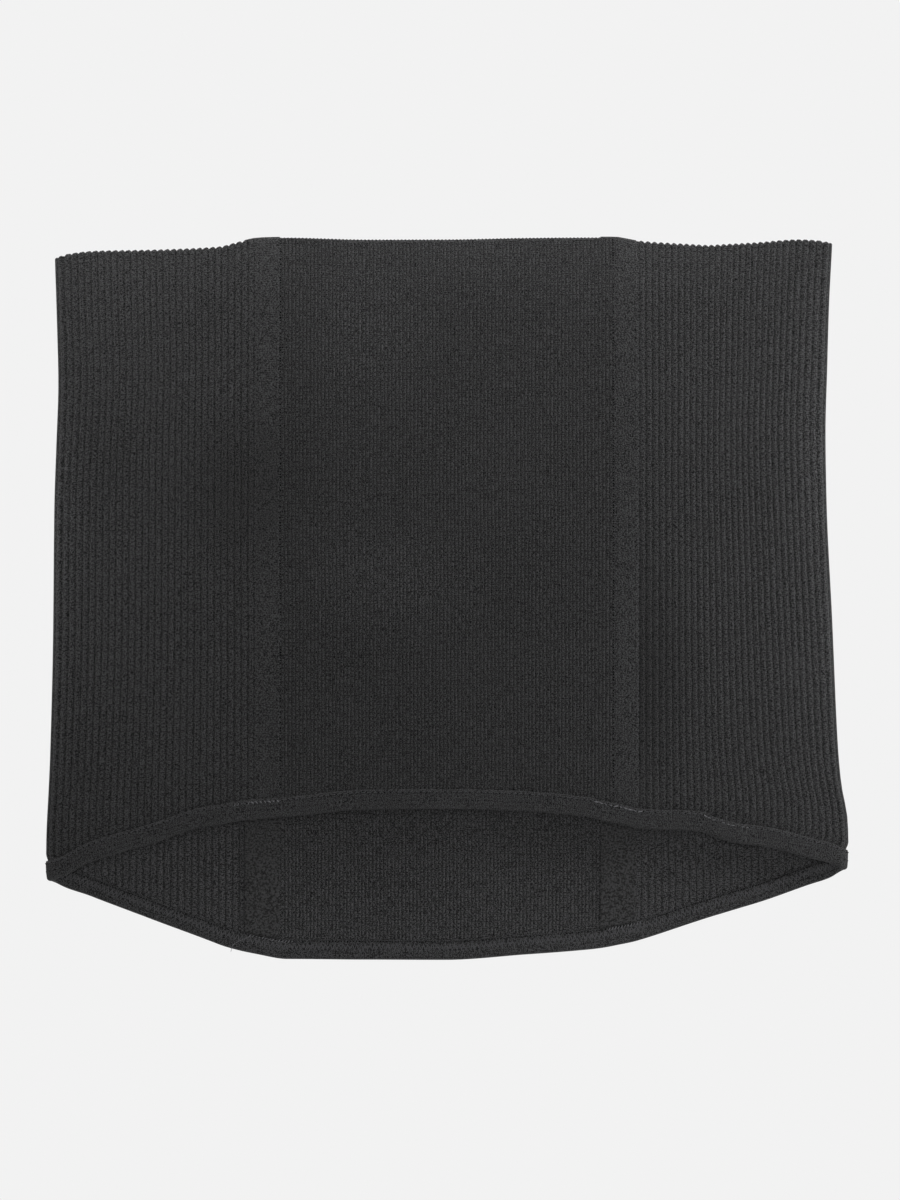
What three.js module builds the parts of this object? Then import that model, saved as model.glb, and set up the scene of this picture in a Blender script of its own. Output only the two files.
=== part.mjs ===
import * as THREE from "three";

// A pull-on waist trimmer belt of thick ribbed knit, lying flat on its back panel.
// +X runs across the belt, +Y towards its top edge and +Z up from the surface that it lies on.
// The origin is under the middle of the belt. Lengths are in millimetres.

// Driving dimensions of the flat belt
const BELT_WIDTH = 360; // across the hem
const FRONT_LENGTH = 254; // top edge to hem, down the middle of the front
const BACK_LENGTH = 324; // top edge to hem, down the middle of the back
const SIDE_LENGTH = 280; // top edge to hem, down each side fold
const TOP_SLANT = 10; // how far the lowest corner of the top edge lies under its highest point
const FRONT_CROWN = 2.5; // how far the middle of the front stands over its sides
const HEM_EASE = 3; // length in which the knit thins down to go into the binding

// Driving dimensions of the knit
const KNIT_THICKNESS = 1.8;
const PRESSED_THICKNESS = 1; // of the knit inside the binding
const RIB_PITCH = 3.06;
const RIB_DEPTH = 0.5;
const SCALLOP = 0.9; // how far a rib's end stands over the groove beside it at the top edge
const FINE_PANEL_WIDTH = 148.4;
const BACK_SHIFT = 3; // how far the back's seams lie to the left of the front's

// Driving dimensions of the trim
const CHANNEL_WIDTH = 11;
const CHANNEL_RAISE = 0.3; // how far a front channel stands over the knit beside it
const TAPE_WIDTH = 16;
const TAPE_THICKNESS = 1.8;
const TAPE_GAP = 3; // clear height between a front tape and the back tape under it
const TAPE_STANDS = 0.6; // how far a tape's end stands over the top edge
const TAPE_STOPS = 0.5; // how far its other end stops short of the binding
const BINDING_HEIGHT = 9;
const BINDING_THICKNESS = 0.8;
const BINDING_ROUND = 0.6; // corner of the folded binding
const CLOTH_STOPS = 1.1; // how far the knit's cut edge stops short of the binding's fold
const CLEARANCE = 0.3; // between pieces that are sewn together

// What follows from them
const HOLLOW = TAPE_GAP + 2 * (TAPE_THICKNESS + CLEARANCE); // clear height between front and back
const FOLD_RADIUS = (HOLLOW + KNIT_THICKNESS) / 2; // of the middle of the knit at the side folds
const FOLD_ARC = Math.PI * FOLD_RADIUS;
const SLOT_HALF = PRESSED_THICKNESS / 2 + CLEARANCE; // half the slot inside the binding
const BINDING_HALF = SLOT_HALF + BINDING_THICKNESS;
const FLAT_HALF = BELT_WIDTH / 2 - BINDING_HALF - FOLD_RADIUS; // middle to where a fold starts
const HEM_LIFT = BINDING_HALF - KNIT_THICKNESS / 2; // the binding lifts the knit off the surface
const HEM_ZONE = BINDING_HEIGHT + CLEARANCE + HEM_EASE;
const CHANNEL_MIDDLE = FINE_PANEL_WIDTH / 2 + CLEARANCE + CHANNEL_WIDTH / 2;
const SIDE_START = CHANNEL_MIDDLE + CHANNEL_WIDTH / 2 + CLEARANCE;

// The flat outline's two sides: half widths down the belt, as shares of half BELT_WIDTH
const SIDES = [
  { down: 0, left: 0.978, right: 0.958 },
  { down: 0.1, left: 0.97, right: 0.952 },
  { down: 0.2, left: 0.967, right: 0.947 },
  { down: 0.3, left: 0.972, right: 0.943 },
  { down: 0.4, left: 0.977, right: 0.945 },
  { down: 0.6, left: 0.98, right: 0.96 },
  { down: 0.8, left: 0.988, right: 0.973 },
  { down: 0.86, left: 0.993, right: 0.983 },
  { down: 0.92, left: 0.998, right: 0.996 },
  { down: 1, left: 1, right: 1 },
];

// The top edge and the hem across the belt, where across is a share of its half width. A drop is a
// share of TOP_SLANT. An arch goes from 0, SIDE_LENGTH, to 1, FRONT_LENGTH or BACK_LENGTH. The rows
// at 0.63 and 0.67 are the two sides of the binding's lap joint.
const EDGES = [
  { across: -1, frontDrop: 1, backDrop: 1, frontArch: 0, backArch: 0 },
  { across: -0.97, frontDrop: 0.84, backDrop: 0.76, frontArch: 0.06, backArch: 0.09 },
  { across: -0.9, frontDrop: 0.74, backDrop: 0.65, frontArch: 0.25, backArch: 0.22 },
  { across: -0.75, frontDrop: 0.66, backDrop: 0.57, frontArch: 0.56, backArch: 0.46 },
  { across: -0.58, frontDrop: 0.54, backDrop: 0.45, frontArch: 0.82, backArch: 0.75 },
  { across: -0.52, frontDrop: 0.27, backDrop: 0.18, frontArch: 0.79, backArch: 0.88 },
  { across: -0.47, frontDrop: 0.1, backDrop: 0.01, frontArch: 0.76, backArch: 0.97 },
  { across: -0.4, frontDrop: 0.1, backDrop: 0.01, frontArch: 0.81, backArch: 1 },
  { across: -0.2, frontDrop: 0.28, backDrop: 0.13, frontArch: 0.99, backArch: 1 },
  { across: 0, frontDrop: 0.25, backDrop: 0.1, frontArch: 1, backArch: 1 },
  { across: 0.2, frontDrop: 0.2, backDrop: 0.05, frontArch: 0.93, backArch: 0.96 },
  { across: 0.36, frontDrop: 0.12, backDrop: 0, frontArch: 0.79, backArch: 0.92 },
  { across: 0.42, frontDrop: 0.05, backDrop: 0, frontArch: 0.68, backArch: 0.89 },
  { across: 0.48, frontDrop: 0.24, backDrop: 0.15, frontArch: 0.68, backArch: 0.78 },
  { across: 0.63, frontDrop: 0.38, backDrop: 0.29, frontArch: 0.66, backArch: 0.56 },
  { across: 0.67, frontDrop: 0.41, backDrop: 0.32, frontArch: 0.58, backArch: 0.5 },
  { across: 0.8, frontDrop: 0.34, backDrop: 0.25, frontArch: 0.37, backArch: 0.35 },
  { across: 0.92, frontDrop: 0.26, backDrop: 0.18, frontArch: 0.12, backArch: 0.2 },
  { across: 0.97, frontDrop: 0.24, backDrop: 0.16, frontArch: 0.05, backArch: 0.1 },
  { across: 1, frontDrop: 0.3, backDrop: 0.3, frontArch: 0, backArch: 0 },
];

// Soft swells and dents in the front: their middles and reaches as shares of its half width and its
// length, and their heights as shares of FRONT_CROWN
const SWELLS = [
  { across: -0.45, down: 0.42, rise: -0.3, reachAcross: 0.3, reachDown: 0.16 },
  { across: 0.1, down: 0.34, rise: -0.25, reachAcross: 0.22, reachDown: 0.14 },
  { across: -0.12, down: 0.62, rise: 0.3, reachAcross: 0.3, reachDown: 0.16 },
  { across: 0.62, down: 0.3, rise: 0.25, reachAcross: 0.25, reachDown: 0.3 },
];

// Rows of points down a panel, as shares of the length over its hem zone
const ROWS_DOWN = [0, 0.2, 0.4, 0.6, 0.82, 1];

const FINE_PANEL_COLUMNS = 14;
const STRIP_COLUMNS = 2;
const BINDING_FLAT_STEPS = 24; // along the front or the back
const BINDING_FOLD_STEPS = 6; // round one side fold

const KNIT_BLACK = new THREE.Color("#2b2b2d");
const RIB_BLACK = new THREE.Color("#2d2d2f");
const TAPE_BLACK = new THREE.Color("#303032");
const BINDING_BLACK = new THREE.Color("#29292b");

// A smooth curve through one column of a table, level where the column turns round.
function curve(rows, along, column) {
  const xs = rows.map((row) => row[along]);
  const ys = rows.map((row) => row[column]);
  const rises = xs.slice(1).map((x, i) => (ys[i + 1] - ys[i]) / (x - xs[i]));
  const slopes = xs.map((_, i) => {
    const before = rises[Math.max(i - 1, 0)];
    const after = rises[Math.min(i, rises.length - 1)];
    return before * after > 0 ? (2 * before * after) / (before + after) : 0;
  });
  return (at) => {
    const x = THREE.MathUtils.clamp(at, xs[0], xs[xs.length - 1]);
    let i = 0;
    while (i < xs.length - 2 && x > xs[i + 1]) i += 1;
    const step = xs[i + 1] - xs[i];
    const s = (x - xs[i]) / step;
    const fromStart = (1 + 2 * s) * (1 - s) ** 2 * ys[i] + s * (1 - s) ** 2 * step * slopes[i];
    const fromEnd = s ** 2 * (3 - 2 * s) * ys[i + 1] - s ** 2 * (1 - s) * step * slopes[i + 1];
    return fromStart + fromEnd;
  };
}

const sideLeft = curve(SIDES, "down", "left");
const sideRight = curve(SIDES, "down", "right");
const frontEdges = {
  drop: curve(EDGES, "across", "frontDrop"),
  arch: curve(EDGES, "across", "frontArch"),
  middle: FRONT_LENGTH,
};
const backEdges = {
  drop: curve(EDGES, "across", "backDrop"),
  arch: curve(EDGES, "across", "backArch"),
  middle: BACK_LENGTH,
};

// Where a place round the loop lies in the belt's cross-section. The loop is measured in the middle
// of the knit, at the hem, from the middle of the front: + to the right and - to the left, round the
// side fold and on along the back. turn is 0 on the front, half a turn on the back.
function section(loop) {
  const side = Math.sign(loop) || 1;
  const gone = Math.abs(loop);
  const turn = THREE.MathUtils.clamp((gone - FLAT_HALF) / FOLD_RADIUS, 0, Math.PI);
  const pastFold = Math.max(gone - FLAT_HALF - FOLD_ARC, 0);
  const x = Math.min(gone, FLAT_HALF) + FOLD_RADIUS * Math.sin(turn) - pastFold;
  return { x: side * x, side, turn, across: (side * x) / (FLAT_HALF + FOLD_RADIUS) };
}

// The loop place on the back that lies at x, reached round the right fold or round the left one.
function backLoop(x, side) {
  return side * (FLAT_HALF + FOLD_ARC + FLAT_HALF - side * x);
}

// Height of the front over its sides: one broad crown and the soft swells on it.
function crown(across, down) {
  const fade = (1 - across ** 2) ** 2;
  const swells = SWELLS.reduce((sum, swell) => {
    const away = Math.hypot(
      (across - swell.across) / swell.reachAcross,
      (down - swell.down) / swell.reachDown,
    );
    return sum + (away < 1 ? swell.rise * Math.cos((away * Math.PI) / 2) ** 2 : 0);
  }, 0);
  return FRONT_CROWN * fade * (1 + swells);
}

// A point of the belt: loop is its place round the loop, row its place down the belt and out its
// distance outwards from the middle of the knit. A row with over is that far over the hem's fold,
// and any other is a share of the way down to the hem zone, shifted by nudge.
function place(loop, row, out) {
  const { x, side, turn, across } = section(loop);
  const edges = turn > Math.PI / 2 ? backEdges : frontEdges;
  const length = SIDE_LENGTH + (edges.middle - SIDE_LENGTH) * edges.arch(across);
  const fallen = row.over === undefined ? row.share * (length - HEM_ZONE) : length - row.over;
  const down = fallen / length;
  const widths = x < 0 ? sideLeft(down) : sideRight(down);
  const spread = THREE.MathUtils.smoothstep(Math.abs(x), SIDE_START, FLAT_HALF);
  const draw = spread * (widths - 1) * (BELT_WIDTH / 2) * Math.sign(x);
  const reach = FOLD_RADIUS + out;
  const lift = KNIT_THICKNESS / 2 + FOLD_RADIUS + row.lift * HEM_LIFT;
  const rise = turn < Math.PI / 2 ? crown(across, down) : 0;
  return [
    x + draw + side * out * Math.sin(turn),
    -edges.drop(across) * TOP_SLANT - fallen - (row.nudge ?? 0),
    lift + reach * Math.cos(turn) + rise,
  ];
}

// The rows of a piece that goes into the binding: down the belt, then pressed thin in the hem.
function rowsToHem() {
  const open = ROWS_DOWN.map((share) => ({ share, lift: share === 1 ? 1 : 0, pressed: false }));
  const hem = [BINDING_HEIGHT + CLEARANCE, BINDING_THICKNESS + CLOTH_STOPS].map((over) => ({
    over,
    lift: 1,
    pressed: true,
  }));
  return [...open, ...hem];
}

// A closed wall between an outer and an inner grid of points, columns by rows.
// point(column, row, outer) gives each one.
function wall(columns, rows, point) {
  const across = columns.length;
  const down = rows.length;
  const positions = [true, false].flatMap((outer) =>
    rows.flatMap((row) => columns.flatMap((column) => point(column, row, outer))),
  );
  const out = (i, j) => j * across + i;
  const inn = (i, j) => across * down + j * across + i;
  const index = [];
  const quad = (a, b, c, d) => index.push(a, b, c, a, c, d);
  for (let j = 0; j < down - 1; j += 1) {
    for (let i = 0; i < across - 1; i += 1) {
      quad(out(i, j + 1), out(i + 1, j + 1), out(i + 1, j), out(i, j));
      quad(inn(i, j), inn(i + 1, j), inn(i + 1, j + 1), inn(i, j + 1));
    }
    quad(out(0, j), inn(0, j), inn(0, j + 1), out(0, j + 1));
    quad(out(across - 1, j), out(across - 1, j + 1), inn(across - 1, j + 1), inn(across - 1, j));
  }
  for (let i = 0; i < across - 1; i += 1) {
    quad(out(i, 0), out(i + 1, 0), inn(i + 1, 0), inn(i, 0));
    quad(inn(i, down - 1), inn(i + 1, down - 1), out(i + 1, down - 1), out(i, down - 1));
  }
  return solid(positions, index);
}

// A ring of one closed section, carried through the stations of the loop. The section's points run
// from the outside down, round the fold and up the inside.
function ring(stations, profile) {
  const positions = stations.flatMap((loop) =>
    profile.flatMap(({ out, over }) => place(loop, { over, lift: 1 }, out)),
  );
  const sides = profile.length;
  const index = [];
  for (let i = 0; i < stations.length; i += 1) {
    const here = i * sides;
    const next = ((i + 1) % stations.length) * sides;
    for (let k = 0; k < sides; k += 1) {
      const after = (k + 1) % sides;
      index.push(here + k, here + after, next + after, here + k, next + after, next + k);
    }
  }
  return solid(positions, index);
}

function solid(positions, index) {
  const geometry = new THREE.BufferGeometry();
  geometry.setAttribute("position", new THREE.Float32BufferAttribute(positions, 3));
  geometry.setIndex(index);
  geometry.computeVertexNormals();
  return geometry;
}

// Evenly spaced loop places from one to another, both included.
function steps(from, to, count) {
  return Array.from({ length: count + 1 }, (_, i) => from + ((to - from) * i) / count);
}

// Plain knit between two loop places, raised over the knit beside it where it covers a tape.
function plainKnit(from, to, count, raise = 0) {
  return wall(steps(from, to, count), rowsToHem(), (loop, row, outer) => {
    const half = (row.pressed ? PRESSED_THICKNESS : KNIT_THICKNESS) / 2;
    return place(loop, row, outer ? half + (row.pressed ? 0 : raise) : -half);
  });
}

// Wide-ribbed knit between two loop places. Its columns are crests and grooves by turns, a groove
// outside is a rib inside, and each rib's end stands a little over the grooves beside it.
function ribbedKnit(from, to) {
  const ribs = Math.max(Math.round((to - from) / RIB_PITCH), 1);
  const columns = steps(from, to, 2 * ribs).map((loop, i) => ({ loop, crest: i % 2 === 1 }));
  return wall(columns, rowsToHem(), ({ loop, crest }, row, outer) => {
    const sunk = crest === outer ? 0 : RIB_DEPTH;
    const half = row.pressed ? PRESSED_THICKNESS / 2 : KNIT_THICKNESS / 2 - sunk;
    const nudge = row.share === 0 ? (crest ? -SCALLOP / 2 : SCALLOP / 2) : 0;
    return place(loop, { ...row, nudge }, outer ? half : -half);
  });
}

// A boning tape under the knit, from a little over the top edge down to the binding.
function boningTape(middle) {
  const top = -(KNIT_THICKNESS / 2 + CLEARANCE);
  const rows = ROWS_DOWN.map((share) => ({
    share,
    lift: share === 1 ? 1 : 0,
    nudge: share === 0 ? -TAPE_STANDS : 0,
  }));
  rows.push({ over: BINDING_HEIGHT + TAPE_STOPS, lift: 1 });
  const columns = steps(middle - TAPE_WIDTH / 2, middle + TAPE_WIDTH / 2, STRIP_COLUMNS);
  return wall(columns, rows, (loop, row, outer) =>
    place(loop, row, outer ? top : top - TAPE_THICKNESS),
  );
}

// The binding: one ring folded over the cut hem, with a slot for the knit.
function hemBinding() {
  const loopHalf = 2 * FLAT_HALF + FOLD_ARC;
  const stations = [
    ...steps(-loopHalf, -FLAT_HALF - FOLD_ARC, BINDING_FLAT_STEPS / 2).slice(0, -1),
    ...steps(-FLAT_HALF - FOLD_ARC, -FLAT_HALF, BINDING_FOLD_STEPS).slice(0, -1),
    ...steps(-FLAT_HALF, FLAT_HALF, BINDING_FLAT_STEPS).slice(0, -1),
    ...steps(FLAT_HALF, FLAT_HALF + FOLD_ARC, BINDING_FOLD_STEPS).slice(0, -1),
    ...steps(FLAT_HALF + FOLD_ARC, loopHalf, BINDING_FLAT_STEPS / 2).slice(0, -1),
  ];
  const outside = [
    { out: SLOT_HALF, over: BINDING_HEIGHT },
    { out: BINDING_HALF - BINDING_ROUND / 2, over: BINDING_HEIGHT },
    { out: BINDING_HALF, over: BINDING_HEIGHT - BINDING_ROUND },
    { out: BINDING_HALF, over: BINDING_ROUND },
    { out: BINDING_HALF - BINDING_ROUND, over: 0 },
  ];
  const inside = outside.map(({ out, over }) => ({ out: -out, over })).reverse();
  const slot = [
    { out: -SLOT_HALF, over: BINDING_THICKNESS },
    { out: SLOT_HALF, over: BINDING_THICKNESS },
  ];
  return ring(stations, [...outside, ...inside, ...slot]);
}

// A named mesh with a cloth finish of its own.
function piece(name, geometry, color, roughness) {
  const mesh = new THREE.Mesh(
    geometry,
    new THREE.MeshStandardMaterial({ color, roughness, metalness: 0 }),
  );
  mesh.name = name;
  return mesh;
}

// The pieces on the front or on the back: a fine panel, and a channel and a tape on each side of it.
// The belt's weight presses the back channels level with the knit beside them.
function panelWithStrips(face, loopAt) {
  const half = FINE_PANEL_WIDTH / 2;
  const ordered = (a, b) => [Math.min(a, b), Math.max(a, b)];
  const panelEnds = ordered(loopAt(-half, 1), loopAt(half, 1));
  const raise = face === "front" ? CHANNEL_RAISE : 0;
  const group = new THREE.Group();
  group.add(
    piece(`${face}_panel`, plainKnit(...panelEnds, FINE_PANEL_COLUMNS), KNIT_BLACK, 0.95),
  );
  for (const [hand, side] of [
    ["left", -1],
    ["right", 1],
  ]) {
    const middle = loopAt(side * CHANNEL_MIDDLE, side);
    const ends = [middle - CHANNEL_WIDTH / 2, middle + CHANNEL_WIDTH / 2];
    const channel = plainKnit(...ends, STRIP_COLUMNS, raise);
    group.add(piece(`channel_${face}_${hand}`, channel, KNIT_BLACK, 0.95));
    group.add(piece(`tape_${face}_${hand}`, boningTape(middle), TAPE_BLACK, 1));
  }
  return group;
}

// Puts the origin under the middle of the finished belt.
function centred(group) {
  const box = new THREE.Box3().setFromObject(group, true);
  const middle = box.getCenter(new THREE.Vector3());
  group.position.set(-middle.x, -middle.y, -box.min.z);
  return group;
}

const onFront = (x) => x;
const onBack = (x, side) => backLoop(x - BACK_SHIFT, side);
const leftEnds = [onBack(-SIDE_START, -1), onFront(-SIDE_START)];
const rightEnds = [onFront(SIDE_START), onBack(SIDE_START, 1)];

const belt = new THREE.Group();
belt.add(panelWithStrips("front", onFront));
belt.add(panelWithStrips("back", onBack));
belt.add(piece("side_panel_left", ribbedKnit(...leftEnds), RIB_BLACK, 0.95));
belt.add(piece("side_panel_right", ribbedKnit(...rightEnds), RIB_BLACK, 0.95));
belt.add(piece("hem_binding", hemBinding(), BINDING_BLACK, 0.9));

export default centred(belt);
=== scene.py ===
"""Looks of a pull-on waist trimmer belt of black ribbed knit, lying flat on its back panel.

Sizes are in millimetres in the classes below, and every mesh is in metres.
"""

import logging
import math
import random
from dataclasses import dataclass
from enum import Enum

import bpy
import numpy as np
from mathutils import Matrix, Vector


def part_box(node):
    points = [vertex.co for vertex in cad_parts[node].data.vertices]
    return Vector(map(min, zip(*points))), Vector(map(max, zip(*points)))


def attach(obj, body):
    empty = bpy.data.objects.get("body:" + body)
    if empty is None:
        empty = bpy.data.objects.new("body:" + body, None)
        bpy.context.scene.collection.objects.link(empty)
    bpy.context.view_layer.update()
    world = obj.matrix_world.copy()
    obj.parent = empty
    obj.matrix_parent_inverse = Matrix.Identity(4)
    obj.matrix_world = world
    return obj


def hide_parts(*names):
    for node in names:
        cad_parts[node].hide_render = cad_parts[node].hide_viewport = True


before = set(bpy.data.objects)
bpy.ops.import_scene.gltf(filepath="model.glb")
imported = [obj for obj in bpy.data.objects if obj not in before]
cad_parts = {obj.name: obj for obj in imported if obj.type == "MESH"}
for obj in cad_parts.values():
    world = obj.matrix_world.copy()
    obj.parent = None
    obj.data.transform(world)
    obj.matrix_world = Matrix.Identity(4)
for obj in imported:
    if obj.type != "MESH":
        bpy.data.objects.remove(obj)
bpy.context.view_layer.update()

MM = 0.001
SEED = 7
LOG = logging.getLogger("belt")

Tree = bpy.types.NodeTree
Socket = bpy.types.NodeSocket


def linear(code: str, times: float = 1.0) -> tuple[float, float, float, float]:
    """Turns an sRGB hex colour into linear light.

    Args:
        code: the colour, such as "#232324".
        times: how much lighter or darker it is made.

    Returns:
        Red, green, blue and an alpha of 1.
    """
    shares = [int(code[i : i + 2], 16) / 255 for i in (1, 3, 5)]
    light = [s / 12.92 if s <= 0.04045 else ((s + 0.055) / 1.055) ** 2.4 for s in shares]
    return (*[s * times for s in light], 1.0)


def add(tree: Tree, kind: str, inputs: dict | None = None, **settings: object) -> bpy.types.Node:
    """Adds a node to a tree, with its settings and what goes into it.

    Args:
        tree: the node tree.
        kind: the node's Blender type.
        inputs: what goes into its sockets, by name or number: a socket to link, or a value.
        settings: the node's own properties.

    Returns:
        The new node.
    """
    node = tree.nodes.new(kind)
    for key, value in settings.items():
        setattr(node, key, value)
    for key, value in (inputs or {}).items():
        if isinstance(value, Socket):
            tree.links.new(value, node.inputs[key])
        else:
            node.inputs[key].default_value = value
    return node


def calc(tree: Tree, operation: str, *parts: object) -> Socket:
    """Returns the result of one sum in a tree."""
    return add(tree, "ShaderNodeMath", dict(enumerate(parts)), operation=operation).outputs[0]


def scaled(tree: Tree, vector: Socket, times: object) -> Socket:
    """Returns a direction or a colour, made that many times as large."""
    parts = {0: vector, "Scale": times}
    return add(tree, "ShaderNodeVectorMath", parts, operation="SCALE").outputs[0]


class Face(Enum):
    """The layer of the belt that a piece lies in."""

    FRONT = "front"
    BACK = "back"


class Hand(Enum):
    """The side of the belt that a piece lies on, with the sign of its X."""

    LEFT = -1
    RIGHT = 1


class Curve:
    """A smooth curve through rows of a table, level where it turns round."""

    def __init__(self, rows: list[tuple[float, ...]], column: int) -> None:
        """Takes column 0 of the rows as the way along and another column as the value."""
        self.x = np.array([row[0] for row in rows], float)
        self.y = np.array([row[column] for row in rows], float)
        self.step = np.diff(self.x)
        rise = np.diff(self.y) / self.step
        before = np.concatenate([rise[:1], rise])
        after = np.concatenate([rise, rise[-1:]])
        total = np.where(before * after > 0, before + after, 1.0)
        self.slope = np.where(before * after > 0, 2 * before * after / total, 0.0)

    def __call__(self, at: np.ndarray) -> np.ndarray:
        """Returns the curve's value at each place."""
        x = np.clip(at, self.x[0], self.x[-1])
        i = np.clip(np.searchsorted(self.x, x, side="right") - 1, 0, len(self.step) - 1)
        h = self.step[i]
        s = (x - self.x[i]) / h
        from_start = (1 + 2 * s) * (1 - s) ** 2 * self.y[i] + s * (1 - s) ** 2 * h * self.slope[i]
        from_end = s**2 * (3 - 2 * s) * self.y[i + 1] - s**2 * (1 - s) * h * self.slope[i + 1]
        return from_start + from_end


def smoothstep(x: np.ndarray, low: float, high: float) -> np.ndarray:
    """Returns 0 below low, 1 above high, and a smooth step between."""
    s = np.clip((x - low) / (high - low), 0, 1)
    return s * s * (3 - 2 * s)


@dataclass(frozen=True)
class Wobble:
    """A slow, seeded wave over a surface, from -1 to 1, so that knit doesn't look ruled."""

    seed: int
    reach: float
    waves: int = 5

    def __call__(self, u: np.ndarray, v: np.ndarray) -> np.ndarray:
        """Returns the wave at each place, given two distances in millimetres."""
        draw = random.Random(self.seed)
        total = np.zeros(np.broadcast(u, v).shape)
        for _ in range(self.waves):
            turn = draw.uniform(0, math.pi)
            length = self.reach * draw.uniform(0.7, 1.6)
            start = draw.uniform(0, 2 * math.pi)
            along = (u * math.cos(turn) + v * math.sin(turn)) / length
            total = total + np.sin(2 * math.pi * along + start)
        return total / self.waves


# Half widths down the belt, as shares of half its width: down, left, right
SIDES = [
    (0, 0.9815, 0.965),
    (0.1, 0.9765, 0.957),
    (0.2, 0.973, 0.9525),
    (0.3, 0.978, 0.9485),
    (0.4, 0.983, 0.9505),
    (0.6, 0.986, 0.965),
    (0.8, 0.9935, 0.979),
    (0.86, 0.9975, 0.987),
    (0.92, 1.002, 1.003),
    (0.955, 1.003, 1.005),
    (0.97, 1.0, 1.0),
    (0.985, 0.999, 0.9995),
    (1, 0.996, 0.9975),
]

# Top edge and hem across the belt: across as a share of half its width, the top edge's drop in
# front and behind as shares of top_slant, and the hem's arch in front and behind, from 0, the side
# length, to 1, the front's or the back's length
EDGES = [
    (-1, 1, 1, 0.05, -0.03),
    (-0.97, 0.84, 0.76, 0.07, 0.09),
    (-0.9, 0.712, 0.622, 0.27, 0.22),
    (-0.75, 0.66, 0.57, 0.56, 0.46),
    (-0.58, 0.53, 0.44, 0.845, 0.745),
    (-0.52, 0.286, 0.196, 0.826, 0.873),
    (-0.47, 0.121, 0.031, 0.798, 0.952),
    (-0.4, 0.1, 0.01, 0.825, 1),
    (-0.2, 0.244, 0.094, 1.006, 0.987),
    (0, 0.237, 0.087, 1.015, 0.991),
    (0.2, 0.169, 0.019, 0.948, 0.951),
    (0.36, 0.12, 0, 0.82, 0.904),
    (0.42, 0.05, 0, 0.7, 0.867),
    (0.48, 0.255, 0.165, 0.686, 0.777),
    (0.63, 0.42, 0.33, 0.705, 0.542),
    (0.67, 0.453, 0.363, 0.617, 0.483),
    (0.72, 0.41, 0.32, 0.5, 0.432),
    (0.8, 0.34, 0.25, 0.4, 0.35),
    (0.92, 0.195, 0.115, 0.138, 0.21),
    (0.97, 0.24, 0.16, 0.062, 0.13),
    (1, 0.332, 0.332, -0.0135, 0.008),
]

# Broad swells of the front: middle across and down, rise as a share of the crown, and reach across
# and down; across is a share of half the width, and down a share of the length
SWELLS = [
    (-0.45, 0.42, -0.3, 0.3, 0.16),
    (0.1, 0.34, -0.25, 0.22, 0.14),
    (-0.12, 0.62, 0.3, 0.3, 0.16),
    (0.62, 0.3, 0.25, 0.25, 0.3),
]


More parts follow.
